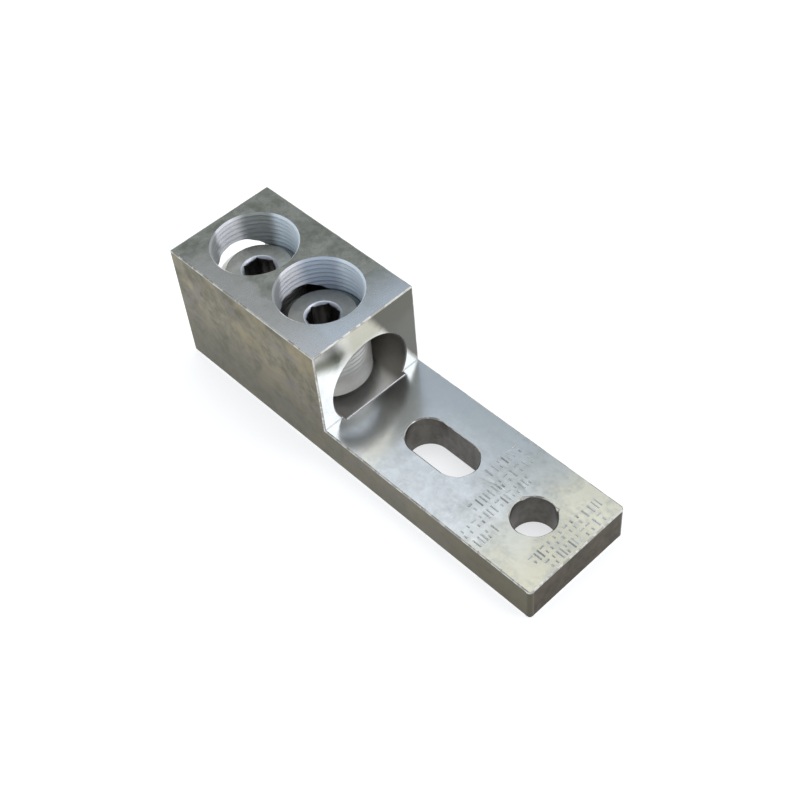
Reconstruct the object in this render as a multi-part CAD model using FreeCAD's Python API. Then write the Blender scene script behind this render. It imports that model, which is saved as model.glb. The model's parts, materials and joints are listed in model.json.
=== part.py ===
import FreeCAD, Part
import math
import os

# Mechanical lug for one large conductor. A sawn length of L-shaped aluminium bar is
# bored for the conductor, tapped from above for two set screws, and drilled and
# slotted through its flat tang for two bolts. X runs from the conductor's entry to
# the tip of the tang, Y across the bar, Z up. The origin is on the contact face
# underneath, at the middle of the length and of the width. Sizes are in millimetres.

# Bar
WIDTH = 41.275
TANG_THICKNESS = 13.3
EDGE_ROUND = 0.5
TIP_CORNER_ROUND = 1.6

# Conductor bore, with the metal that is left under and over it
WALL_UNDER_BORE = 6.35
BORE_DIAMETER = 30.96
ROOF_OVER_BORE = 9.525
BORE_RUN_OUT = 1.5
BORE_DEBURR = 0.4

# Tapped holes, drawn as plain walls at the thread's pitch diameter. The lands are
# what is left of the block's top outside the holes' chamfered rims.
THREAD_DIAMETER = 28.575
THREADS_PER_INCH = 14
THREAD_CHAMFER = 0.95
TAP_END_OVER_BORE_FLOOR = 4.3
ENTRY_LAND = 3.35
MIDDLE_LAND = 1.7
FRONT_LAND = 5.65

# Set screws. A socket turn of zero puts a corner of the hexagon on the X axis.
SCREW_LENGTH = 25.0
SCREW_RUNNING_CLEARANCE = 0.05
SCREW_SEAT_CLEARANCE = 0.05
SCREW_TOP_CHAMFER = 2.65
SCREW_TIP_CHAMFER = 1.05
HEX_ACROSS_FLATS = 9.6
HEX_DEPTH = 12.7
HEX_COUNTERSINK_DIAMETER = 11.8
HEX_DRILL_POINT_ANGLE = 118.0
REAR_SOCKET_TURN = 30.0
FRONT_SOCKET_TURN = 0.0

# Bolt hole and slot in the tang
FACE_TO_SLOT = 25.0
SLOT_TRAVEL = 12.7
BOLT_SPACING = 38.1
BOLT_TO_TIP = 17.46
BOLT_HOLE_DIAMETER = 14.29
BOLT_HOLE_DEBURR = 0.3

# A 60 degree thread's pitch diameter is this share of its pitch under its full diameter
PITCH_DIAMETER_DROP = 0.6495
THREAD_PITCH = 25.4 / THREADS_PER_INCH
TAPPED_RADIUS = (THREAD_DIAMETER - PITCH_DIAMETER_DROP * THREAD_PITCH) / 2
RIM_RADIUS = TAPPED_RADIUS + THREAD_CHAMFER
BOLT_HOLE_RADIUS = BOLT_HOLE_DIAMETER / 2

# Heights
BORE_RADIUS = BORE_DIAMETER / 2
BORE_HEIGHT = WALL_UNDER_BORE + BORE_RADIUS
BLOCK_HEIGHT = WALL_UNDER_BORE + BORE_DIAMETER + ROOF_OVER_BORE
TAP_END_Z = WALL_UNDER_BORE + TAP_END_OVER_BORE_FLOOR

# Places along the bar
SCREW_SPACING = 2 * RIM_RADIUS + MIDDLE_LAND
BLOCK_LENGTH = ENTRY_LAND + 2 * RIM_RADIUS + SCREW_SPACING + FRONT_LAND
TANG_LENGTH = FACE_TO_SLOT + SLOT_TRAVEL / 2 + BOLT_SPACING + BOLT_TO_TIP
ENTRY_X = -(BLOCK_LENGTH + TANG_LENGTH) / 2
FACE_X = ENTRY_X + BLOCK_LENGTH
TIP_X = FACE_X + TANG_LENGTH
REAR_SCREW_X = ENTRY_X + ENTRY_LAND + RIM_RADIUS
FRONT_SCREW_X = REAR_SCREW_X + SCREW_SPACING
SLOT_START_X = FACE_X + FACE_TO_SLOT
BOLT_X = TIP_X - BOLT_TO_TIP

# How far a cutting tool starts outside the metal
OVERSHOOT = 2.0

UP = FreeCAD.Vector(0, 0, 1)
ALONG = FreeCAD.Vector(1, 0, 0)


def point(x, y, z):
    return FreeCAD.Vector(x, y, z)


def closed_face(corners):
    return Part.Face(Part.makePolygon(corners + corners[:1]))


def is_tip_corner(edge):
    """An upright edge at the tang's tip, sharp at first and then a seam of its rounding."""
    start, end = edge.Vertexes[0].Point, edge.Vertexes[-1].Point
    upright = abs(start.z - end.z) > abs(start.x - end.x) + abs(start.y - end.y)
    return upright and edge.CenterOfMass.x > (FACE_X + TIP_X) / 2


def is_root_of_tang(edge):
    """The inside corner where the block's front face meets the tang's upper face."""
    c = edge.CenterOfMass
    return abs(c.x - FACE_X) < EDGE_ROUND and abs(c.z - TANG_THICKNESS) < EDGE_ROUND


def sawn_bar():
    """The L-shaped bar, cut to its width, with the tip's upright corners rounded and all edges broken."""
    outline = [
        point(ENTRY_X, -WIDTH / 2, 0),
        point(TIP_X, -WIDTH / 2, 0),
        point(TIP_X, -WIDTH / 2, TANG_THICKNESS),
        point(FACE_X, -WIDTH / 2, TANG_THICKNESS),
        point(FACE_X, -WIDTH / 2, BLOCK_HEIGHT),
        point(ENTRY_X, -WIDTH / 2, BLOCK_HEIGHT),
    ]
    bar = closed_face(outline).extrude(point(0, WIDTH, 0))
    bar = bar.makeFillet(TIP_CORNER_ROUND, [e for e in bar.Edges if is_tip_corner(e)])
    sharp = [e for e in bar.Edges if not is_tip_corner(e) and not is_root_of_tang(e)]
    return bar.makeFillet(EDGE_ROUND, sharp)


def conductor_bore():
    """The bore runs through the block and just past its front face into the tang."""
    length = OVERSHOOT + BLOCK_LENGTH + BORE_RUN_OUT
    return Part.makeCylinder(BORE_RADIUS, length, point(ENTRY_X - OVERSHOOT, 0, BORE_HEIGHT), ALONG)


def bore_rim(face_x, outward):
    """A cone that breaks the bore's rim on an end face of the block, above the tang's upper face."""
    flare = BORE_DEBURR + OVERSHOOT
    start = point(face_x - outward * BORE_DEBURR, 0, BORE_HEIGHT)
    cone = Part.makeCone(BORE_RADIUS, BORE_RADIUS + flare, flare, start, ALONG * outward)
    if outward < 0:
        return cone
    above_tang = point(face_x - flare, -WIDTH / 2, TANG_THICKNESS)
    return cone.common(Part.makeBox(2 * flare, WIDTH, BLOCK_HEIGHT, above_tang))


def tapped_hole(x):
    """A hole from the block's chamfered top rim down into the lower walls of the bore."""
    depth = BLOCK_HEIGHT - TAP_END_Z
    hole = Part.makeCylinder(TAPPED_RADIUS, depth + OVERSHOOT, point(x, 0, TAP_END_Z), UP)
    flare = THREAD_CHAMFER + OVERSHOOT
    start = point(x, 0, BLOCK_HEIGHT - THREAD_CHAMFER)
    return hole.fuse(Part.makeCone(TAPPED_RADIUS, TAPPED_RADIUS + flare, flare, start, UP))


def through_tool(x, travel):
    """A cutter of the bolt hole's size that travels along X, right through the tang."""
    height = TANG_THICKNESS + 2 * OVERSHOOT
    tool = Part.makeCylinder(BOLT_HOLE_RADIUS, height, point(x, 0, -OVERSHOOT), UP)
    if travel > 0:
        far_end = Part.makeCylinder(BOLT_HOLE_RADIUS, height, point(x + travel, 0, -OVERSHOOT), UP)
        corner = point(x, -BOLT_HOLE_RADIUS, -OVERSHOOT)
        middle = Part.makeBox(travel, BOLT_HOLE_DIAMETER, height, corner)
        tool = tool.fuse([middle, far_end])
    return tool


def rim_tool(x, travel, face_z, outward):
    """A 45 degree cutter that breaks the rim of a bolt hole or slot on one face of the tang."""
    flare = BOLT_HOLE_DEBURR + OVERSHOOT
    wide = BOLT_HOLE_RADIUS + flare
    z = face_z - outward * BOLT_HOLE_DEBURR
    tool = Part.makeCone(BOLT_HOLE_RADIUS, wide, flare, point(x, 0, z), UP * outward)
    if travel > 0:
        far_end = Part.makeCone(BOLT_HOLE_RADIUS, wide, flare, point(x + travel, 0, z), UP * outward)
        section = [
            point(x, -BOLT_HOLE_RADIUS, z),
            point(x, BOLT_HOLE_RADIUS, z),
            point(x, wide, z + outward * flare),
            point(x, -wide, z + outward * flare),
        ]
        middle = closed_face(section).extrude(point(travel, 0, 0))
        tool = tool.fuse([middle, far_end])
    return tool


def bolt_opening(x, travel):
    """A round hole, or a slot where there is travel, deburred on both faces of the tang."""
    rims = [rim_tool(x, travel, TANG_THICKNESS, 1), rim_tool(x, travel, 0, -1)]
    return through_tool(x, travel).fuse(rims)


def lug_body():
    body = sawn_bar()
    for tool in (
        conductor_bore(),
        bore_rim(ENTRY_X, -1),
        bore_rim(FACE_X, 1),
        tapped_hole(REAR_SCREW_X),
        tapped_hole(FRONT_SCREW_X),
        bolt_opening(SLOT_START_X, SLOT_TRAVEL),
        bolt_opening(BOLT_X, 0),
    ):
        body = body.cut(tool)
    return body.removeSplitter()


def hex_socket(top_z, socket_turn):
    """What the key's socket takes out of a screw: hexagon, drill point and countersunk mouth."""
    floor_z = top_z - HEX_DEPTH
    corner = HEX_ACROSS_FLATS / math.sqrt(3)
    turns = [math.radians(60 * k + socket_turn) for k in range(6)]
    hexagon = closed_face([point(corner * math.cos(t), corner * math.sin(t), floor_z) for t in turns])
    prism = hexagon.extrude(UP * (HEX_DEPTH + OVERSHOOT))
    drill_radius = HEX_ACROSS_FLATS / 2
    drill_depth = drill_radius / math.tan(math.radians(HEX_DRILL_POINT_ANGLE / 2))
    drill_point = Part.makeCone(drill_radius, 0, drill_depth, point(0, 0, floor_z), -UP)
    mouth = HEX_COUNTERSINK_DIAMETER / 2
    countersink = Part.makeCone(0, mouth + OVERSHOOT, mouth + OVERSHOOT, point(0, 0, top_z - mouth), UP)
    return prism.fuse([drill_point, countersink])


def set_screw(x, socket_turn):
    """A turned screw, chamfered at both ends, standing on the end of its tapped hole."""
    r = TAPPED_RADIUS - SCREW_RUNNING_CLEARANCE
    tip = TAP_END_Z + SCREW_SEAT_CLEARANCE
    top = tip + SCREW_LENGTH
    outline = [
        point(0, 0, tip),
        point(r - SCREW_TIP_CHAMFER, 0, tip),
        point(r, 0, tip + SCREW_TIP_CHAMFER),
        point(r, 0, top - SCREW_TOP_CHAMFER),
        point(r - SCREW_TOP_CHAMFER, 0, top),
        point(0, 0, top),
    ]
    blank = closed_face(outline).revolve(point(0, 0, 0), UP, 360)
    screw = blank.cut(hex_socket(top, socket_turn))
    screw.translate(point(x, 0, 0))
    return screw


os.makedirs("parts", exist_ok=True)
pieces = {
    "lug_body": lug_body(),
    "set_screw_rear": set_screw(REAR_SCREW_X, REAR_SOCKET_TURN),
    "set_screw_front": set_screw(FRONT_SCREW_X, FRONT_SOCKET_TURN),
}
for name, shape in pieces.items():
    shape.exportStep(os.path.join("parts", name + ".step"))
    print(name, "valid:", shape.isValid(), "solids:", len(shape.Solids), "volume:", round(shape.Volume, 1))
print("screw axes at x =", round(REAR_SCREW_X, 4), round(FRONT_SCREW_X, 4), "bolt hole at", round(BOLT_X, 4))
print("entry, front face, tip at x =", round(ENTRY_X, 4), round(FACE_X, 4), round(TIP_X, 4))
print("slot starts at x =", round(SLOT_START_X, 4), "block height", round(BLOCK_HEIGHT, 4))
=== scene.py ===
import json
import math

import bpy
import numpy as np
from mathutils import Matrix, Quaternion, Vector


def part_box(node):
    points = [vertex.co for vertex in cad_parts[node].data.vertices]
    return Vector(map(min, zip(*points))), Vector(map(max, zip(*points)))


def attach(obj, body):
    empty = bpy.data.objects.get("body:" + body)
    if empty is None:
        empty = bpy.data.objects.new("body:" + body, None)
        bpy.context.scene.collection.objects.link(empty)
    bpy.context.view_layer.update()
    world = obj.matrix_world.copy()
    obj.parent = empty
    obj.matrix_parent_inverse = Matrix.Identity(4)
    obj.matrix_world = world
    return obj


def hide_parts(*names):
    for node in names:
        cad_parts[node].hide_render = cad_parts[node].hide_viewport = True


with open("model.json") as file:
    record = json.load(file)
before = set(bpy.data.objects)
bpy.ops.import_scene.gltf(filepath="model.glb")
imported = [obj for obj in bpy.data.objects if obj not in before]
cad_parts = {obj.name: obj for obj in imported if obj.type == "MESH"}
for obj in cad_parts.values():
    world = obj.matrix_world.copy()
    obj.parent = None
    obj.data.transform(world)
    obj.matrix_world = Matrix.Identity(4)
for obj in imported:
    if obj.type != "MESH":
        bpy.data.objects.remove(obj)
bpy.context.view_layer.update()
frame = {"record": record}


# The bar. The lug's body is a sawn length of L-shaped aluminium bar, a tall block for the
# conductor and a flat tang for the bolts. Its edges are broken by tumbling, and the tang's
# two upright tip corners are rounder.
MM = 0.001
EDGE_ROUND = 0.5
TIP_CORNER_ROUND = 1.6
ROUNDING_STEPS = 4
BORE_RUN_OUT = 1.5

mounts = {mount["name"]: mount for mount in frame["record"]["mounts"]}
body_low, body_high = (np.array(corner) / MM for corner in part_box("lug_body"))
ENTRY_X, TIP_X = body_low[0], body_high[0]
HALF_WIDTH = body_high[1]
BLOCK_TOP = body_high[2]
TANG_TOP = 2 * mounts["bolt_hole"]["pos_m"][2] / MM
BORE_RADIUS = mounts["conductor_bore"]["dims"]["r_mm"]
BORE_HEIGHT = mounts["conductor_bore"]["pos_m"][2] / MM
BORE_END_X = ENTRY_X + mounts["conductor_bore"]["dims"]["length_mm"]
FACE_X = BORE_END_X - BORE_RUN_OUT


def solid(name, points, faces, material):
    """A mesh object from points in millimetres and blocks of faces, each block an array with a row for each face."""
    mesh = bpy.data.meshes.new(name)
    mesh.from_pydata(points * MM, [], [face for block in faces for face in block.tolist()])
    mesh.materials.append(material)
    made = bpy.data.objects.new(name, mesh)
    bpy.context.scene.collection.objects.link(made)
    return made


class Amount:
    """A socket that carries a number. An operator on it adds a Math node, with numbers or sockets on either side."""

    def __init__(self, finish, socket):
        self.finish, self.socket = finish, socket

    def math(self, operation, *others, turned=False):
        terms = [self, *others]
        if turned:
            terms.reverse()
        return self.finish.node("ShaderNodeMath", {"operation": operation}, dict(enumerate(terms)))

    def __add__(self, other):
        return self.math("ADD", other)

    def __sub__(self, other):
        return self.math("SUBTRACT", other)

    def __mul__(self, other):
        return self.math("MULTIPLY", other)

    def __rsub__(self, other):
        return self.math("SUBTRACT", other, turned=True)

    __radd__, __rmul__ = __add__, __mul__

    def high(self, other):
        return self.math("MAXIMUM", other)

    def size(self):
        return self.math("ABSOLUTE")

    def ramp(self, start, end):
        """0 where the number is at start, 1 where it is at end, a smooth step between them."""
        inputs = {"Value": self, "From Min": start, "From Max": end}
        settings = {"interpolation_type": "SMOOTHSTEP"}
        return self.finish.node("ShaderNodeMapRange", settings, inputs)


class Finish:
    """The nodes of one material, or of the room's world."""

    def __init__(self, holder):
        self.holder = holder
        holder.use_nodes = True
        self.nodes, self.links = holder.node_tree.nodes, holder.node_tree.links
        self.nodes.clear()

    def node(self, kind, settings, inputs, output=0):
        """Adds a node of that kind, with its settings first and then its inputs, and gives one output."""
        made = self.nodes.new(kind)
        for key, value in settings.items():
            setattr(made, key, value)
        for key, value in inputs.items():
            if isinstance(value, Amount):
                self.links.new(value.socket, made.inputs[key])
            else:
                made.inputs[key].default_value = value
        return Amount(self, made.outputs[output]) if len(made.outputs) else made

    def split(self, vector):
        return [self.node("ShaderNodeSeparateXYZ", {}, {0: vector}, axis) for axis in range(3)]

    def read_place(self):
        """Sets place, and its x, y and z, to where on the piece the surface is, in millimetres."""
        place = self.node("ShaderNodeTexCoord", {}, {}, "Object")
        self.place = self.node("ShaderNodeVectorMath", {"operation": "SCALE"}, {0: place, "Scale": 1 / MM})
        self.x, self.y, self.z = self.split(self.place)

    def stretched(self, x, y, z):
        """The place with each axis multiplied by its own number, for grain that runs one way."""
        return self.node("ShaderNodeVectorMath", {"operation": "MULTIPLY"}, {0: self.place, 1: (x, y, z)})

    def noise(self, scale, detail=2.0, rough=0.5, place=None, warp=0.0):
        inputs = {"Vector": place or self.place, "Scale": scale, "Detail": detail}
        inputs |= {"Roughness": rough, "Distortion": warp}
        return self.node("ShaderNodeTexNoise", {}, inputs)

    def mix(self, share, first, second):
        """A colour that goes from the first to the second as share goes from 0 to 1."""
        first, second = ((*c, 1.0) if isinstance(c, tuple) else c for c in (first, second))
        return self.node("ShaderNodeMix", {"data_type": "RGBA"}, {0: share, 6: first, 7: second}, 2)

    def metal(self, colour, roughness, metallic, height, depth):
        """Joins a metal shader to the output. height times depth is the bump in millimetres."""
        bump = self.node("ShaderNodeBump", {}, {"Height": height, "Strength": 1.0, "Distance": depth * MM})
        inputs = {"Base Color": colour, "Metallic": metallic, "Roughness": roughness, "Normal": bump}
        shader = self.node("ShaderNodeBsdfPrincipled", {}, inputs)
        self.node("ShaderNodeOutputMaterial", {}, {"Surface": shader})
        return self.holder


def tin_plate(name, colour, stain, lay, roughness, grain=0.004, metallic=1.0, tints=None):
    """Satin tin plate over the bar's own surface. Its colour goes towards the stain in clouds, blotches and specks,
    and fine lines run along the lay, a triple of stretches. tints gives shares and colours to lay over them."""
    finish = Finish(bpy.data.materials.new(name))
    finish.read_place()
    cloud = finish.noise(0.11, detail=3.0, warp=0.6)
    blotch = finish.noise(0.42, detail=3.0, warp=0.4)
    lines = finish.noise(1.0, detail=3.0, place=finish.stretched(*lay))
    speck = finish.noise(1.7, detail=2.0)
    share = cloud.ramp(0.36, 0.62) * 0.5 + blotch.ramp(0.38, 0.62) * 0.4 + speck.ramp(0.45, 0.75) * 0.2
    shade = finish.mix(share, colour, stain)
    for tint_share, tint in tints(finish, cloud, blotch) if tints else []:
        shade = finish.mix(tint_share, shade, tint)
    shine = cloud * 0.10 + blotch * 0.08 + lines * 0.06 + (roughness - 0.12)
    relief = lines * 0.7 + speck * 0.2 + blotch * 1.2 + cloud * 2.0
    return finish.metal(shade, shine, metallic, relief, grain)


def tang_tints(finish, cloud, blotch):
    """Yellower towards the tip, cream at its far corner and rubbed dull by the marks. Greyer on the far side near the
    block, a painted shade, and blue-grey beside the block, a painted reflection of its face and bore.
    """
    towards_tip = (finish.x + cloud * 24.0).ramp(50, 88) * 0.8
    # far_side is painted shade: the far side of the tang near the block is darkened.
    far_side = (finish.y + cloud * 6.0).ramp(5, 16) * finish.x.ramp(60, 46) * 0.5
    far_corner = (finish.x + blotch * 8.0).ramp(60, 70) * (finish.y + cloud * 12.0).ramp(8, 18) * 0.85
    # beside_block is a painted reflection: the block's face and bore mirrored blue-grey in the tang.
    beside_block = (finish.x + cloud * 20.0).ramp(34, 4) * 0.5
    rubbed = finish.noise(0.38, detail=5.0, rough=0.65).ramp(0.36, 0.74) * finish.x.ramp(34, 42)
    rubbed = rubbed * cloud.ramp(0.36, 0.52) * 0.55
    tints = [(far_side, (0.58, 0.61, 0.58)), (towards_tip, (0.74, 0.675, 0.47)), (far_corner, (0.98, 0.91, 0.70))]
    return [*tints, (beside_block, (0.69, 0.735, 0.77)), (rubbed, (0.46, 0.47, 0.45))]


def block_tints(finish, cloud, blotch):
    """Paler and bluer towards the front edge, a painted reflection, and a little paler and warmer along the -y side."""
    # front is a painted reflection of the blue-grey room on the front of the block top.
    front = (finish.x - finish.y * 0.12 + cloud * 14.0).ramp(-22, -2) * 0.65
    near_side = (finish.y + cloud * 9.0).ramp(-5.0, -12.0) * finish.x.ramp(-76.0, -62.0) * 0.6
    return [(front, (0.75, 0.82, 0.90)), (near_side, (0.56, 0.545, 0.52))]


def front_tints(finish, cloud, blotch):
    """Painted reflections: dark grey over the right of the bore, where the face mirrors dark surroundings past the
    tang's edge, a dark patch out to the corner over its upper left, the slot mirrored, and a warmer tone above it, the
    tang mirrored; and a fine line of painted shade in the crease where the cutter's corner met the tang."""
    # right masks a painted reflection: dark grey beyond the line where the tang's reflection ends.
    right = finish.y + (finish.z - TANG_TOP) * 0.54 + cloud * 3.0
    # patch is a painted reflection of the slot, and above_bore a painted reflection of the tang.
    off_patch = (finish.z + finish.y * 0.35 - 35.6).size()
    patch = (off_patch + cloud * 8.0).ramp(10.0, 3.5) * (finish.y + cloud * 7.0).ramp(-3.5, -9.0)
    above_bore = (finish.z + cloud * 6.0).ramp(36, 43) * finish.y.ramp(-14, -4)
    tints = [(above_bore * 0.85, (0.50, 0.465, 0.375)), (patch * 0.92, (0.205, 0.217, 0.162))]
    # A fine line of painted shade along the crease above the tang.
    crease_shade = finish.z.ramp(TANG_TOP + 0.7, TANG_TOP + 0.2) * 0.6
    return [*tints, (right.ramp(20.0, 23.0) * 0.94, (0.098, 0.10, 0.085)), (crease_shade, (0.42, 0.42, 0.46))]


def side_tints(finish, cloud, blotch):
    """Darker towards the bottom, a painted shade, with yellow-brown and violet-grey clouds, and browner beside the tip.
    """
    # low is painted shade: the side darkened near the table that it mirrors.
    low = (finish.z + cloud * 14.0).ramp(40, 14) * 0.75
    beside_tip = (finish.x + cloud * 20.0).ramp(40, 75) * 0.6
    yellow = finish.noise(0.045, detail=2.0, warp=0.7).ramp(0.46, 0.62) * 0.5
    violet = finish.noise(0.06, detail=2.0, warp=0.9, place=finish.stretched(1.0, 1.0, 1.7)).ramp(0.54, 0.66) * 0.6
    tints = [(yellow, (0.32, 0.27, 0.16)), (violet, (0.205, 0.188, 0.172)), (low, (0.122, 0.116, 0.088))]
    return [*tints, (beside_tip, (0.10, 0.086, 0.053))]


def edge_tints(finish, cloud, blotch):
    """Dull in stretches, and round the tip's two upright corners as dark as the sawn faces, a painted shade."""
    # round_tip carries the tip end's painted shade onto its rounded corners.
    round_tip = finish.x.ramp(TIP_X - 2.4, TIP_X - 1.7) * finish.y.size().ramp(HALF_WIDTH - 2.4, HALF_WIDTH - 1.7)
    upright = finish.z.ramp(TANG_TOP - 0.5, TANG_TOP - 1.1)
    dull = (blotch + cloud * 0.7).ramp(0.92, 0.78) * 0.85
    return [(dull, (0.30, 0.29, 0.25)), (round_tip * upright, (0.085, 0.076, 0.052))]


ALONG_X, ALONG_Y, ALONG_Z = (0.2, 4.0, 4.0), (4.0, 0.12, 4.0), (4.0, 4.0, 0.2)
ALL_WAYS = (0.5, 0.5, 0.5)
tang_top = tin_plate("tang_top", (0.83, 0.835, 0.815), (0.67, 0.68, 0.665), ALONG_Y, 0.20, tints=tang_tints)
block_top = tin_plate("block_top", (0.43, 0.435, 0.385), (0.22, 0.23, 0.19), ALONG_Y, 0.28, tints=block_tints)
front_face = tin_plate("front_face", (0.99, 0.98, 0.96), (0.92, 0.91, 0.88), ALONG_Y, 0.20, tints=front_tints)
hidden_face = tin_plate("hidden_face", (0.50, 0.49, 0.44), (0.36, 0.35, 0.31), ALONG_Y, 0.34)
# The tip end's near-black brown is painted shade, for the dark surroundings it mirrors.
tip_end = tin_plate("tip_end", (0.068, 0.048, 0.025), (0.034, 0.024, 0.010), ALONG_Y, 0.42)
# The sawn sides' dark olive is partly their sawn, tarnished finish and partly painted shade for the dark surroundings
# they mirror.
sawn_side = tin_plate("sawn_side", (0.236, 0.217, 0.157), (0.122, 0.115, 0.079), ALL_WAYS, 0.46, 0.02, tints=side_tints)
worn_edge = tin_plate("worn_edge", (0.85, 0.85, 0.84), (0.50, 0.49, 0.44), ALL_WAYS, 0.30, tints=edge_tints)


def sawn_bar():
    """Two copies of the bar's L outline, one at each sawn side, joined by a flat face along each of its edges."""
    outline = np.array([
        (ENTRY_X, 0),
        (TIP_X, 0),
        (TIP_X, TANG_TOP),
        (FACE_X, TANG_TOP),
        (FACE_X, BLOCK_TOP),
        (ENTRY_X, BLOCK_TOP),
    ])
    corners = len(outline)
    near, far = (np.insert(outline, 1, y, axis=1) for y in (-HALF_WIDTH, HALF_WIDTH))
    first = np.arange(corners)
    following = np.roll(first, -1)
    edges = np.column_stack([first, first + corners, following + corners, following])
    ends = np.array([first, first[::-1] + corners])
    bar = solid("lug_body_bar", np.vstack([near, far]), [edges, ends], hidden_face)
    finishes = [hidden_face, tip_end, tang_top, front_face, block_top, sawn_side, worn_edge]
    for material in finishes[1:]:
        bar.data.materials.append(material)
    faces = [hidden_face, tip_end, tang_top, front_face, block_top, hidden_face, sawn_side, sawn_side]
    bar.data.polygons.foreach_set("material_index", [finishes.index(material) for material in faces])

    edge_ends = np.empty(2 * len(bar.data.edges), np.int32)
    bar.data.edges.foreach_get("vertices", edge_ends)
    places = np.vstack([near, far])[edge_ends.reshape(-1, 2)]
    middle, run = places.mean(axis=1), np.abs(np.ptp(places, axis=1))
    tip_corner = (middle[:, 0] == TIP_X) & (run[:, 2] > 0)
    root = (middle[:, 0] == FACE_X) & (middle[:, 2] == TANG_TOP) & (run[:, 1] > 0)
    share = np.where(tip_corner, 1.0, np.where(root, 0.0, EDGE_ROUND / TIP_CORNER_ROUND))
    weights = bar.data.attributes.new("bevel_weight_edge", "FLOAT", "EDGE")
    weights.data.foreach_set("value", share.astype(np.float32))
    rounding = bar.modifiers.new("broken_edges", "BEVEL")
    rounding.limit_method = "WEIGHT"
    rounding.width = TIP_CORNER_ROUND * MM
    rounding.segments = ROUNDING_STEPS
    rounding.material = finishes.index(worn_edge)
    return bar


bar = sawn_bar()


# The conductor bore, drilled along the block and a little into the tang, with both of its
# rims lightly deburred. Inside it is a dull drilled wall, with painted shade and painted light on it.
ROUND_STEPS = 128
OVERSHOOT = 2.0
BORE_DEBURR = 0.4
LIP_WIDTH = 0.85
LIP_HEIGHT = 0.26
LIP_TOP_WIDTH = 0.1
LIP_FOOT = 0.05
LIP_ROOT = 0.6
LIP_BEHIND_EDGE = 1.0
LIP_SHORT_BY = 0.15


def bore_tints(finish, cloud, blotch):
    """Darker on the lower +y wall, a painted shade, and paler on the floor, a painted light."""
    # right is painted shade inside the bore; the paler floor is painted light.
    right = (finish.y + (finish.z - BORE_HEIGHT) * 0.3).ramp(2, 9) * finish.z.ramp(35, 30) * 0.85
    return [(right, (0.18, 0.17, 0.15)), (finish.z.ramp(12, 8) * 0.9, (1.0, 0.97, 0.92))]


bored_wall = tin_plate(
    "bored_wall", (0.74, 0.71, 0.67), (0.58, 0.55, 0.51), ALONG_X, 0.42, metallic=0.86, tints=bore_tints
)
burr = tin_plate("burr", (0.80, 0.78, 0.80), (0.68, 0.66, 0.68), ALL_WAYS, 0.26)


def closed_tube(rings, lead=0):
    """Closes a grid of points, ring by ring, into a solid. The end of a ring meets the start of the ring that is
    lead further on: 0 gives a turned solid, and a thread's rings to the pitch give a thread. A fan closes each end."""
    count, places = rings.shape[:2]
    number = np.arange(count * places).reshape(count, places)
    following = np.column_stack([number[:, 1:], np.roll(number[:, 0], -lead)])
    quads = np.stack([number[:-1], following[:-1], following[1:], number[1:]], axis=-1)
    sides = np.concatenate([quads[:, :-1].reshape(-1, 4), quads[: count - 1 - lead, -1]])
    foot = np.concatenate([number[0], number[lead:0:-1, 0]])
    head = np.concatenate([number[-1], number[-2 : -2 - lead : -1, -1]])
    points = rings.reshape(-1, 3)
    middles = np.array([points[foot].mean(axis=0), points[head].mean(axis=0)])
    fan_foot = np.column_stack([np.full(len(foot), number.size), np.roll(foot, -1), foot])
    fan_head = np.column_stack([np.full(len(head), number.size + 1), head, np.roll(head, -1)])
    return np.vstack([points, middles]), [sides, fan_foot, fan_head]


def turned(heights, radii, steps=ROUND_STEPS):
    """Rings about the Z axis: each is a circle of its own radius at its own height."""
    angle = 2 * np.pi * np.arange(steps) / steps
    radius, height = (np.asarray(values, float)[:, None] for values in (radii, heights))
    return np.stack([radius * np.cos(angle), radius * np.sin(angle), height + 0 * angle], axis=-1)


def lying(rings):
    """Turns rings about the Z axis into rings about the conductor bore's axis, Z becoming X."""
    x, y, z = np.moveaxis(rings, -1, 0)
    return np.stack([z, y, BORE_HEIGHT - x], axis=-1)


def machined(blank, tool, operation="DIFFERENCE"):
    """Cuts the tool's shape out of the blank, or joins the two, or keeps only what lies in both."""
    step = blank.modifiers.new(tool.name, "BOOLEAN")
    step.operation = operation
    step.object = tool
    step.solver = "EXACT"
    step.material_mode = "TRANSFER"
    tool.hide_render = tool.hide_viewport = True


def bright_where(cutter, material, is_bright):
    """Gives the material to the faces whose middles pass the test, which takes their x, y and z in millimetres."""
    middles = np.empty(3 * len(cutter.data.polygons))
    cutter.data.polygons.foreach_get("center", middles)
    cutter.data.materials.append(material)
    cutter.data.polygons.foreach_set("material_index", is_bright(*middles.reshape(-1, 3).T / MM).astype(np.int32))
    return cutter


def bore_drill():
    """A cylinder that flares at 45 degrees where it leaves the entry face."""
    flare = BORE_DEBURR + OVERSHOOT
    heights = [ENTRY_X - OVERSHOOT, ENTRY_X + BORE_DEBURR, BORE_END_X]
    radii = [BORE_RADIUS + flare, BORE_RADIUS, BORE_RADIUS]
    return solid("bore_drill", *closed_tube(lying(turned(heights, radii))), bored_wall)


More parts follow.
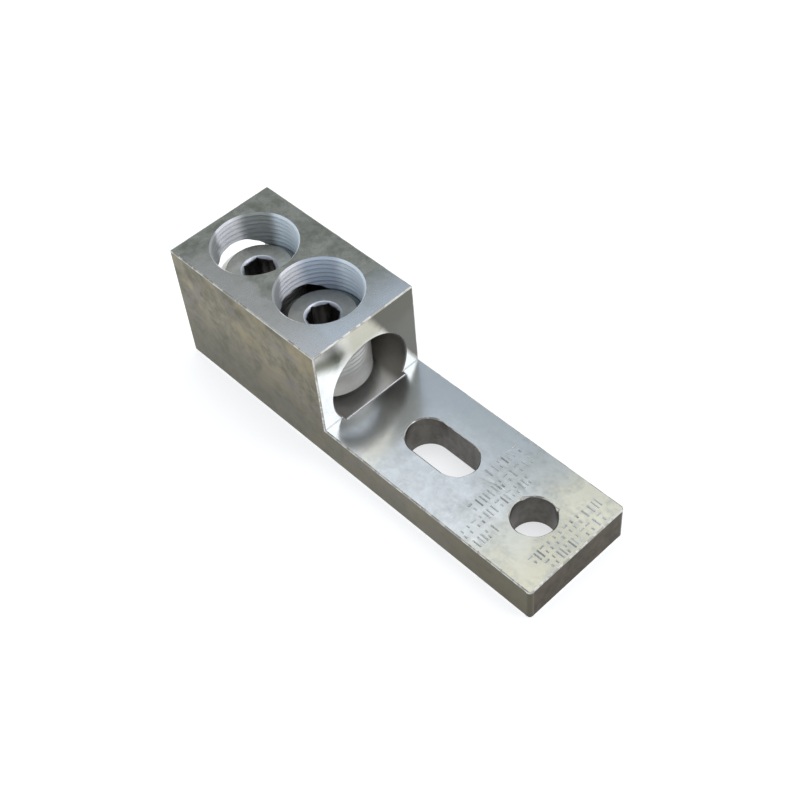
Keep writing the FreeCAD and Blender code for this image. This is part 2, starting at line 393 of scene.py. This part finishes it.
def front_deburr():
    """The front rim's 45 degree cut: a wedge section carried round the part of the bore that is above the tang."""
    proud, inside = 0.05, 0.2
    outer = BORE_RADIUS + BORE_DEBURR + proud
    low_angle = math.asin((TANG_TOP - BORE_HEIGHT) / outer)
    angle = np.linspace(low_angle, np.pi - low_angle, ROUND_STEPS)
    section_x = np.array([FACE_X - BORE_DEBURR, FACE_X + proud, FACE_X + proud])[:, None]
    section_r = np.array([BORE_RADIUS, outer, BORE_RADIUS - inside])[:, None]
    rings = np.stack([section_x + 0 * angle, section_r * np.cos(angle), BORE_HEIGHT + section_r * np.sin(angle)], -1)
    number = np.arange(3 * ROUND_STEPS).reshape(3, -1)
    following = np.roll(number, -1, axis=0)
    sides = np.stack([number[:, :-1], number[:, 1:], following[:, 1:], following[:, :-1]], axis=-1)
    ends = np.array([number[:, 0], number[::-1, -1]])
    return solid("front_deburr", rings.reshape(-1, 3), [sides.reshape(-1, 4), ends], bored_wall)


def run_out_lip():
    """The low ridge that the drill raises on the tang, along the straight edge where it runs out."""
    half_chord = math.sqrt(BORE_RADIUS**2 - (BORE_HEIGHT - TANG_TOP) ** 2) - LIP_SHORT_BY
    section = np.array([
        (-LIP_BEHIND_EDGE, -LIP_ROOT),
        (LIP_WIDTH, -LIP_ROOT),
        (LIP_WIDTH, -LIP_FOOT),
        (LIP_TOP_WIDTH, LIP_HEIGHT),
        (-LIP_BEHIND_EDGE, LIP_HEIGHT),
    ])
    near, far = (np.insert(section + (BORE_END_X, TANG_TOP), 1, y, axis=1) for y in (-half_chord, half_chord))
    first = np.arange(len(section))
    following = np.roll(first, -1)
    sides = np.column_stack([first, first + len(section), following + len(section), following])
    ends = np.array([first, first[::-1] + len(section)])
    return solid("run_out_lip", np.vstack([near, far]), [sides, ends], burr)


machined(bar, run_out_lip(), "UNION")
machined(bar, bore_drill())
machined(bar, front_deburr())


# The two tapped holes, 1 1/8 inch with 14 threads to the inch. Each is drilled from the
# block's top into the bore's lower walls, countersunk at its rim and then tapped.
THREAD_PITCH = 25.4 / 14
MAJOR_RADIUS = 14.288
MINOR_RADIUS = 13.98
RIM_RADIUS = 14.648
TAP_PAST_TIP = 0.05
TAP_END_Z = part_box("set_screw_front")[0].z / MM - TAP_PAST_TIP
TAP_LEAD = (TAP_END_Z + 0.5, TAP_END_Z + 3.5)
OVERLAP = 0.02
RINGS_PER_PITCH = 4
THREAD_PHASES = np.array([0.0, 0.12, 0.5, 0.62])

screw_x = {
    name: (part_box(name)[0].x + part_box(name)[1].x) / 2 / MM
    for name in ("set_screw_rear", "set_screw_front")
}


def thread_rings(bottom, top, phases, radii, lead):
    """Rings of a right-hand thread about the Z axis. A point's height is the pitch times its turn, and its turn is a
    whole number, plus its phase, plus its angle's share of a full turn. The phases and radii are those of the four
    corners of one pitch. Between the lead's two heights the thread rises from the first radius to its full depth."""
    turns = np.arange(math.floor(bottom / THREAD_PITCH), math.ceil(top / THREAD_PITCH))
    phase = (turns[:, None] + phases).reshape(-1, 1)
    share = np.arange(ROUND_STEPS) / ROUND_STEPS
    angle = 2 * np.pi * share
    height = THREAD_PITCH * (phase + share)
    radius = np.tile(radii, len(turns))[:, None] + 0 * angle
    radius = radii[0] + (radius - radii[0]) * np.interp(height, lead, (0, 1))
    return np.stack([radius * np.cos(angle), radius * np.sin(angle), height], axis=-1)


def wall_tints(centre, middle):
    """For the hole about that centre, painted reflections and shade: the middle colour on the part that faces the
    camera, blue-grey to its right and dark grey at its left, with darker scratches round the wall. across runs to the
    right as the camera sees it."""

    def tints(finish, cloud, blotch):
        across = (finish.x - centre) * 0.635 + finish.y * 0.77 + cloud * 4.0
        scratch = finish.noise(1.0, detail=3.0, place=finish.stretched(0.16, 0.16, 2.4)).ramp(0.46, 0.66) * 0.2
        # facing and the dark grey at the left are painted reflections and painted shade; the scratches are the wall's
        # own.
        facing = [(across.ramp(-6, -1), middle), (across.ramp(6, 10), (0.82, 0.92, 1.0))]
        return [*facing, (across.ramp(-9.6, -11.0) * 0.8, (0.22, 0.23, 0.22)), (scratch, (0.60, 0.64, 0.70))]

    return tints


# The middle colours are painted reflection and shade on the walls that face the camera.
MIDDLE_OF_WALL = {"set_screw_rear": (0.28, 0.30, 0.29), "set_screw_front": (0.50, 0.57, 0.68)}
for screw, centre in screw_x.items():
    tints = wall_tints(centre, MIDDLE_OF_WALL[screw])
    # The near-white matt base brightens the walls against the holes' shade, a painted light.
    colours = (1.0, 0.98, 1.0), (0.96, 0.95, 0.99)
    tapped_wall = tin_plate(screw + "_hole", *colours, (0.4, 0.4, 4.0), 0.36, metallic=0.0, tints=tints)
    above = BLOCK_TOP + OVERSHOOT
    cone_foot = BLOCK_TOP - (RIM_RADIUS - MINOR_RADIUS)
    drill = turned([TAP_END_Z, cone_foot, above], [MINOR_RADIUS, MINOR_RADIUS, RIM_RADIUS + OVERSHOOT])
    tap_radii = [MINOR_RADIUS - OVERLAP, MINOR_RADIUS - OVERLAP, MAJOR_RADIUS, MAJOR_RADIUS]
    tap = thread_rings(TAP_LEAD[0], above, THREAD_PHASES, tap_radii, TAP_LEAD)
    for tool, rings, lead in (("drill", drill, 0), ("tap", tap, RINGS_PER_PITCH)):
        points, faces = closed_tube(rings, lead)
        machined(bar, solid(f"{screw}_{tool}", points + (centre, 0, 0), faces, tapped_wall))


# The bolt hole and the bolt slot through the tang, drilled and milled to one size for a
# 1/2 inch bolt. Their upper rims are deburred by hand, unevenly.
BOLT_RADIUS = mounts["bolt_hole"]["dims"]["r_mm"]
BOLT_X = mounts["bolt_hole"]["pos_m"][0] / MM
SLOT_X = mounts["bolt_slot"]["pos_m"][0] / MM
SLOT_TRAVEL = mounts["bolt_slot"]["dims"]["slot_length_mm"] - 2 * BOLT_RADIUS
BOLT_DEBURR = 0.3
RIM_WAVES = [(3, 0.35, 1.1), (7, 0.25, 0.4)]
HOLE_NOTCHES = [(158, 7, 0.5), (62, 5, 0.7)]
SLOT_NOTCHES = [(318, 6, 0.3)]

# The near-black walls of the bolt hole and slot are painted shade in the openings.
drilled_wall = tin_plate("drilled_wall", (0.14, 0.132, 0.12), (0.085, 0.08, 0.07), ALONG_Z, 0.40)


def bolt_opening(name, centre, travel, notches):
    """A circle, or a slot where the circle's two halves are drawn apart by the travel, carried through the tang. Its
    rims flare at 45 degrees. The upper one is uneven by sine waves, each so many to the turn, with its share and start,
    and by rounded notches, each at an angle and with a width, both in degrees, and a depth."""
    angle = 2 * np.pi * (np.arange(ROUND_STEPS) + 0.5) / ROUND_STEPS
    uneven = 1.0
    for waves, share, begin in RIM_WAVES:
        uneven = uneven + share * np.sin(waves * angle + begin)
    deburr = BOLT_DEBURR * uneven
    for where, width, depth in notches:
        deburr = deburr + depth * np.exp(-(((angle - np.radians(where)) / np.radians(width)) ** 2))
    still = 0 * angle
    heights = [still - OVERSHOOT, still + BOLT_DEBURR, TANG_TOP - deburr, still + TANG_TOP + OVERSHOOT]
    radii = [still + BOLT_DEBURR + OVERSHOOT, still, still, deburr + OVERSHOOT]
    radius = BOLT_RADIUS + np.array(radii)
    x = centre + radius * np.cos(angle) + np.sign(np.cos(angle)) * travel / 2
    rings = np.stack([x, radius * np.sin(angle), np.array(heights)], axis=-1)
    cutter = solid(name, *closed_tube(rings), drilled_wall)
    return bright_where(cutter, worn_edge, lambda x, y, z: z > TANG_TOP - 2 * BOLT_DEBURR)


machined(bar, bolt_opening("bolt_hole_drill", BOLT_X, 0.0, HOLE_NOTCHES))
machined(bar, bolt_opening("bolt_slot_mill", SLOT_X, SLOT_TRAVEL, SLOT_NOTCHES))


# The marks. Rows of short plain bars are punched into the tang beside the slot and along its
# tip, and handling has left small nicks along the tang's upper edge.
MARK_ROWS = [
    (40.0, 2.5, 16.0),
    (45.4, -10.0, 16.5),
    (50.2, -18.5, 10.5),
    (55.2, -18.5, -10.5),
    (70.9, -11.5, 16.5),
    (75.2, -9.0, 14.0),
]
MARK_STEP = 2.5
MARK_HEIGHT = 3.7
SHORT_MARK = 1.7
CROSS_MARK = 2.2
MARK_WIDTH = 1.3
MARK_WIDTH_SHARE = (0.7, 1.0)
MARK_DEPTH = 0.2
MARK_DEPTH_SHARE = (0.6, 1.1)
MARK_KINDS = [
    [(0.0, 0.0, MARK_HEIGHT, 0.0)],
    [(0.0, -0.7, MARK_HEIGHT, 0.0), (0.0, 0.7, MARK_HEIGHT, 0.0)],
    [(-1.3, 0.0, CROSS_MARK, np.pi / 2), (0.9, 0.0, SHORT_MARK, 0.0)],
    [(-1.0, 0.0, SHORT_MARK, 0.0), (1.0, -0.6, SHORT_MARK, 0.0)],
]
STRUCK_FROM = 0.1
RIDGE_SHORTER = 0.98
NICK_WIDTH = 1.1
NICK_TURN = (-0.25, 0.25)
NICK_DEPTH = (0.35, 0.6)
NICKS = [
    (7.0, 2.46),
    (15.0, 1.32),
    (22.4, 2.88),
    (29.0, 1.56),
    (36.0, 2.04),
    (42.6, 3.12),
    (51.0, 1.5),
    (58.0, 2.28),
    (67.0, 1.8),
]

struck_metal = tin_plate("struck_metal", (0.60, 0.61, 0.59), (0.42, 0.43, 0.41), ALL_WAYS, 0.46)


def struck(name, place, length, width, turn, depth):
    """V grooves in the tang. Each is a rectangle, length by width, a little over its top, that closes to a ridge at its
    depth. The ridge is shorter by about the width. place has a row for each groove and turn is in radians."""
    count = len(place)
    along = np.column_stack([np.cos(turn), np.sin(turn)])
    across = along[:, ::-1] * (-1, 1)
    along, across = along * (length / 2)[:, None], across * (width / 2)[:, None]
    ridge = along * (1 - RIDGE_SHORTER * np.minimum(width / length, 1))[:, None]
    corners = [place - along - across, place + along - across, place + along + across, place - along + across]
    flat = np.stack([*corners, place - ridge, place + ridge], axis=1)
    height = TANG_TOP + np.where(np.arange(6) < 4, STRUCK_FROM, -depth[:, None])
    points = np.concatenate([flat, height[..., None]], axis=-1).reshape(-1, 3)
    start = 6 * np.arange(count)[:, None, None]
    fours = np.array([(0, 1, 2, 3), (0, 4, 5, 1), (2, 5, 4, 3)]) + start
    threes = np.array([(0, 3, 4), (2, 1, 5)]) + start
    return solid(name, points, [fours.reshape(-1, 4), threes.reshape(-1, 3)], struck_metal)


def struck_rows():
    """Each place in a row is a tall bar, two tall bars, a cross bar over a short bar, or two short bars. A row is its x
    and its first and last y. A bar is its place from there, its length and its turn."""
    chance = np.random.default_rng(11)
    grooves = []
    for x, start, end in MARK_ROWS:
        for y in np.arange(start, end, MARK_STEP):
            kind = MARK_KINDS[chance.integers(0, len(MARK_KINDS))]
            grooves += [(x + beside, y + along, length, turn) for beside, along, length, turn in kind]
    x, y, length, turn = np.array(grooves).T
    width = MARK_WIDTH * chance.uniform(*MARK_WIDTH_SHARE, len(x))
    depth = MARK_DEPTH * chance.uniform(*MARK_DEPTH_SHARE, len(x))
    return struck("struck_rows", np.column_stack([x, y]), length, width, turn, depth)


def edge_nicks():
    """Short grooves along the tang's upper edge, each at its own x and of its own length."""
    chance = np.random.default_rng(5)
    x, length = np.array(NICKS).T
    place = np.column_stack([x, -HALF_WIDTH + 0 * x])
    turn = chance.uniform(*NICK_TURN, len(x))
    depth = chance.uniform(*NICK_DEPTH, len(x))
    return struck("edge_nicks", place, length, 0 * x + NICK_WIDTH, turn, depth)


machined(bar, struck_rows())
machined(bar, edge_nicks())


# The finished body: the cuts above are applied to the bar, its flat faces get their own
# normals and its round ones smooth ones, and it stands for the CAD body.
SMOOTH_UNDER = 32


def finished(blank, name):
    """The blank with all of its cuts applied, as one object with sharp edges where faces meet at a wide angle."""
    mesh = bpy.data.meshes.new_from_object(blank.evaluated_get(bpy.context.evaluated_depsgraph_get()))
    mesh.name = name
    tools = [step.object for step in blank.modifiers if step.type == "BOOLEAN"]
    for used in (blank, *tools):
        bpy.data.objects.remove(used)
    mesh.shade_smooth()
    mesh.set_sharp_from_angle(angle=math.radians(SMOOTH_UNDER))
    made = bpy.data.objects.new(name, mesh)
    bpy.context.scene.collection.objects.link(made)
    shading = made.modifiers.new("flat_faces_lead", "WEIGHTED_NORMAL")
    shading.keep_sharp = True
    return made


bpy.context.view_layer.update()
body = finished(bar, "lug_body_finished")
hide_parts("lug_body")
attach(body, "lug")


# The set screws: turned and threaded aluminium, chamfered at both ends, with a hexagon
# socket that is drilled, broached and countersunk. The chamfers are those of the CAD screw,
# drawn at the pitch radius, carried on to the thread's crest.
CREST_RADIUS = 14.19
ROOT_RADIUS = 13.89
SCREW_LEAD = (4.0, 24.0)
SCREW_TOP_CHAMFER = 2.65
SCREW_TIP_CHAMFER = 1.05
HEX_ACROSS_FLATS = 9.6
HEX_DRILL_RADIUS = 4.95
HEX_DEPTH = 12.7
HEX_MOUTH = 6.15
MOUTH_ROUND = np.array([(0.0, 1.0), (0.22, 0.62), (0.5, 0.32), (0.85, 0.11), (1.2, 0.0)])
DRILL_POINT = 118
POINT_RADIUS = 0.01
SOCKET_STEPS = 144
SOCKET_TURN = {"set_screw_rear": 30.0, "set_screw_front": 0.0}


def rim_tints(finish, cloud, blotch):
    """Darker on the side further from the camera, a painted shade."""
    return [((finish.y + cloud * 3.0).ramp(-1.5, 3.5) * 0.75, (0.36, 0.37, 0.40))]


def top_tints(finish, cloud, blotch):
    """Darker on the front screw, a painted shade, and yellow-grey on the -y side of each, a painted reflection of the
    hole's wall.
    """
    # front is painted shade on the front screw, and near_side a painted reflection.
    front = finish.x.ramp(-50, -40) * 0.62
    near_side = (finish.y + cloud * 5.0).ramp(-1, -7) * 0.5
    return [(front, (0.20, 0.205, 0.20)), (near_side, (0.52, 0.50, 0.40))]


def thread_tints(finish, cloud, blotch):
    """Palest round the smooth nose, a painted light where the screw shows in the bore's shade, greyer above it, and as
    grey as the top higher up, out of sight.
    """
    upper = (finish.z + cloud * 3.0).ramp(16, 22) * 0.55
    hidden = (finish.z + cloud * 3.0).ramp(27.0, 31.5) * 0.85
    return [(upper, (0.55, 0.54, 0.525)), (hidden, (0.40, 0.40, 0.37))]


screw_top = tin_plate("screw_top", (0.63, 0.63, 0.58), (0.42, 0.42, 0.375), ALL_WAYS, 0.36, tints=top_tints)
# The thread's near-white colour is a painted light for the screw seen in the dark bore.
screw_thread = tin_plate(
    "screw_thread", (0.99, 0.99, 0.975), (0.88, 0.88, 0.865), (0.3, 0.3, 3.0), 0.50, metallic=0.75, tints=thread_tints
)
# The socket mouth is paler than the screw's top, partly pale cut metal and partly a painted highlight.
socket_rim = tin_plate("socket_rim", (0.95, 0.95, 0.97), (0.80, 0.80, 0.83), ALL_WAYS, 0.34, tints=rim_tints)
hex_wall = tin_plate("hex_wall", (0.30, 0.28, 0.27), (0.18, 0.17, 0.16), (2.0, 2.0, 0.2), 0.34)


def hexagon(angle, turn):
    """The radius of the hexagon's outline at an angle, with one of its corners at the turn."""
    from_flat = np.mod(angle - math.radians(turn), np.pi / 3) - np.pi / 6
    return HEX_ACROSS_FLATS / 2 / np.cos(from_flat)


def socket_tool(node, centre, top):
    """Drill point, drilled hole, hexagon and rounded mouth in one. Each ring is the larger of the drill's circle, grown
    by the mouth's round, and the hexagon. The hexagon starts at the floor, and the round wins only near the top."""
    floor, turn = top - HEX_DEPTH, SOCKET_TURN[node]
    point_depth = HEX_DRILL_RADIUS / math.tan(math.radians(DRILL_POINT / 2))
    wider, deeper = MOUTH_ROUND.T
    heights = [floor - point_depth, floor, floor, *(top - deeper), top + OVERSHOOT]
    radii = [POINT_RADIUS, HEX_DRILL_RADIUS, HEX_DRILL_RADIUS, *(HEX_DRILL_RADIUS + wider), HEX_MOUTH + OVERLAP]
    rings = turned(heights, radii, SOCKET_STEPS)
    outline = hexagon(2 * np.pi * np.arange(SOCKET_STEPS) / SOCKET_STEPS, turn)
    growth = np.maximum(outline / np.hypot(rings[2:, :, 0], rings[2:, :, 1]), 1.0)
    rings[2:, :, :2] *= growth[..., None]
    points, faces = closed_tube(rings)
    tool = solid(node + "_socket", points + (centre, 0, 0), faces, hex_wall)

    def is_mouth(x, y, z):
        x = x - centre
        return (z > top - deeper[0]) & (np.hypot(x, y) > hexagon(np.arctan2(y, x), turn) + OVERLAP)

    return bright_where(tool, socket_rim, is_mouth)


def set_screw(node, centre):
    """A turned blank, cut to what lies in a thread of its full length, with the socket then cut out of its top."""
    low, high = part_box(node)
    tip, top = low.z / MM, high.z / MM
    beyond_pitch = CREST_RADIUS - (high.x - low.x) / 2 / MM
    tip_cut, top_cut = SCREW_TIP_CHAMFER + beyond_pitch, SCREW_TOP_CHAMFER + beyond_pitch
    heights = [tip, tip + tip_cut, top - top_cut, top]
    radii = [CREST_RADIUS - tip_cut, CREST_RADIUS, CREST_RADIUS, CREST_RADIUS - top_cut]
    points, faces = closed_tube(turned(heights, radii))
    blank = solid(node + "_blank", points + (centre, 0, 0), faces, screw_top)

    radii = [ROOT_RADIUS, ROOT_RADIUS, CREST_RADIUS + OVERLAP, CREST_RADIUS + OVERLAP]
    lead = (tip + SCREW_LEAD[0], tip + SCREW_LEAD[1])
    die = thread_rings(tip - THREAD_PITCH * 2, top + THREAD_PITCH, THREAD_PHASES, radii, lead)
    points, faces = closed_tube(die, RINGS_PER_PITCH)
    machined(blank, solid(node + "_die", points + (centre, 0, 0), faces, screw_thread), "INTERSECT")

    machined(blank, socket_tool(node, centre, top))
    bpy.context.view_layer.update()
    return finished(blank, node + "_finished")


for node, driven_body in (("set_screw_rear", "rear_screw"), ("set_screw_front", "front_screw")):
    screw = set_screw(node, screw_x[node])
    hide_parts(node)
    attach(screw, driven_body)


# The studio: a white table in a grey room with pale walls, and the photograph's camera. Two
# long softboxes overlap overhead, at two heights so that one doesn't hide the other.
CAMERA_PLACE = Vector((218.9, -176.8, 348.6)) * MM
CAMERA_AIM = Vector((3.76, 0.60, 20.0)) * MM
CAMERA_ROLL = -5.885
LENS = 62.29
TABLE_RADIUS = 4.0
TABLE_SIDES = 64
TABLE_BELOW = 0.02
TABLE_SEEN = 0.64
SOFTBOX_LENGTH = 2.8
SOFTBOX_TURN = 21.7
SOFTBOX_ALONG = 0.8
SOFTBOXES = [("far", 1.0, 0.05, 0.70, 0.52), ("near", 0.94, -0.05, 0.42, 0.72)]


def studio_camera():
    """Aimed from its place at a point on the lug, and then turned about its line of sight by the roll."""
    data = bpy.data.cameras.new("camera")
    data.lens = LENS
    camera = bpy.data.objects.new("camera", data)
    camera.location = CAMERA_PLACE
    level = (CAMERA_AIM - CAMERA_PLACE).to_track_quat("-Z", "Y")
    camera.rotation_mode = "QUATERNION"
    camera.rotation_quaternion = level @ Quaternion((0, 0, 1), math.radians(CAMERA_ROLL))
    bpy.context.scene.collection.objects.link(camera)
    bpy.context.scene.camera = camera


def table_paint():
    """Matt pale paint that the camera and the metal's reflections see brighter, so that it reads as white."""
    finish = Finish(bpy.data.materials.new("table_white"))
    seen = finish.node("ShaderNodeLightPath", {}, {}, "Is Camera Ray")
    seen = seen.high(finish.node("ShaderNodeLightPath", {}, {}, "Is Glossy Ray"))
    seen = seen.high(finish.node("ShaderNodeLightPath", {}, {}, "Is Transmission Ray"))
    matt = finish.node("ShaderNodeBsdfDiffuse", {}, {"Color": (0.70, 0.70, 0.70, 1.0)})
    lit = finish.node("ShaderNodeEmission", {}, {"Color": (1.0, 1.0, 1.0, 1.0), "Strength": seen * TABLE_SEEN})
    both = finish.node("ShaderNodeAddShader", {}, {0: matt, 1: lit})
    finish.node("ShaderNodeOutputMaterial", {}, {"Surface": both})
    return finish.holder


def table():
    """A flat round top, just under the lug's contact face."""
    angle = np.linspace(0, 2 * np.pi, TABLE_SIDES, endpoint=False)
    rim = np.stack([np.cos(angle), np.sin(angle), 0 * angle], axis=-1) * TABLE_RADIUS / MM
    made = solid("table", rim - (0, 0, TABLE_BELOW), [np.arange(TABLE_SIDES)[None]], table_paint())


def softbox(name, height, start, end, brightness):
    """A level strip lamp at that height, from start to end across its length. Its power is its area times pi times the
    brightness that a mirror would show."""
    data = bpy.data.lights.new("softbox_" + name, "AREA")
    data.shape = "RECTANGLE"
    data.size, data.size_y = SOFTBOX_LENGTH, end - start
    data.energy = brightness * math.pi * data.size * data.size_y
    lamp = bpy.data.objects.new("softbox_" + name, data)
    turn, middle = math.radians(SOFTBOX_TURN), (start + end) / 2
    x = SOFTBOX_ALONG * math.cos(turn) - middle * math.sin(turn)
    y = SOFTBOX_ALONG * math.sin(turn) + middle * math.cos(turn)
    lamp.location = (x, y, height)
    lamp.rotation_euler = (0, 0, turn)
    bpy.context.scene.collection.objects.link(lamp)


def room():
    """The room's colour by the height of the direction, 0 at the horizon and 1 overhead: pale low walls, a darker band
    above them and a blue-grey ceiling."""
    world = bpy.data.worlds.new("room")
    finish = Finish(world)
    height = finish.split(finish.node("ShaderNodeTexCoord", {}, {}, "Generated"))[2]
    wall = finish.mix(height.ramp(0.35, 0.60), (0.95, 0.95, 0.94), (0.44, 0.46, 0.49))
    colour = finish.mix(height.ramp(0.66, 0.78), wall, (0.36, 0.43, 0.52))
    background = finish.node("ShaderNodeBackground", {}, {"Color": colour, "Strength": 1.0})
    finish.node("ShaderNodeOutputWorld", {}, {"Surface": background})
    bpy.context.scene.world = world


studio_camera()
table()
for name, height, start, end, brightness in SOFTBOXES:
    softbox(name, height, start, end, brightness)
room()
bpy.context.scene.view_settings.view_transform = "Standard"
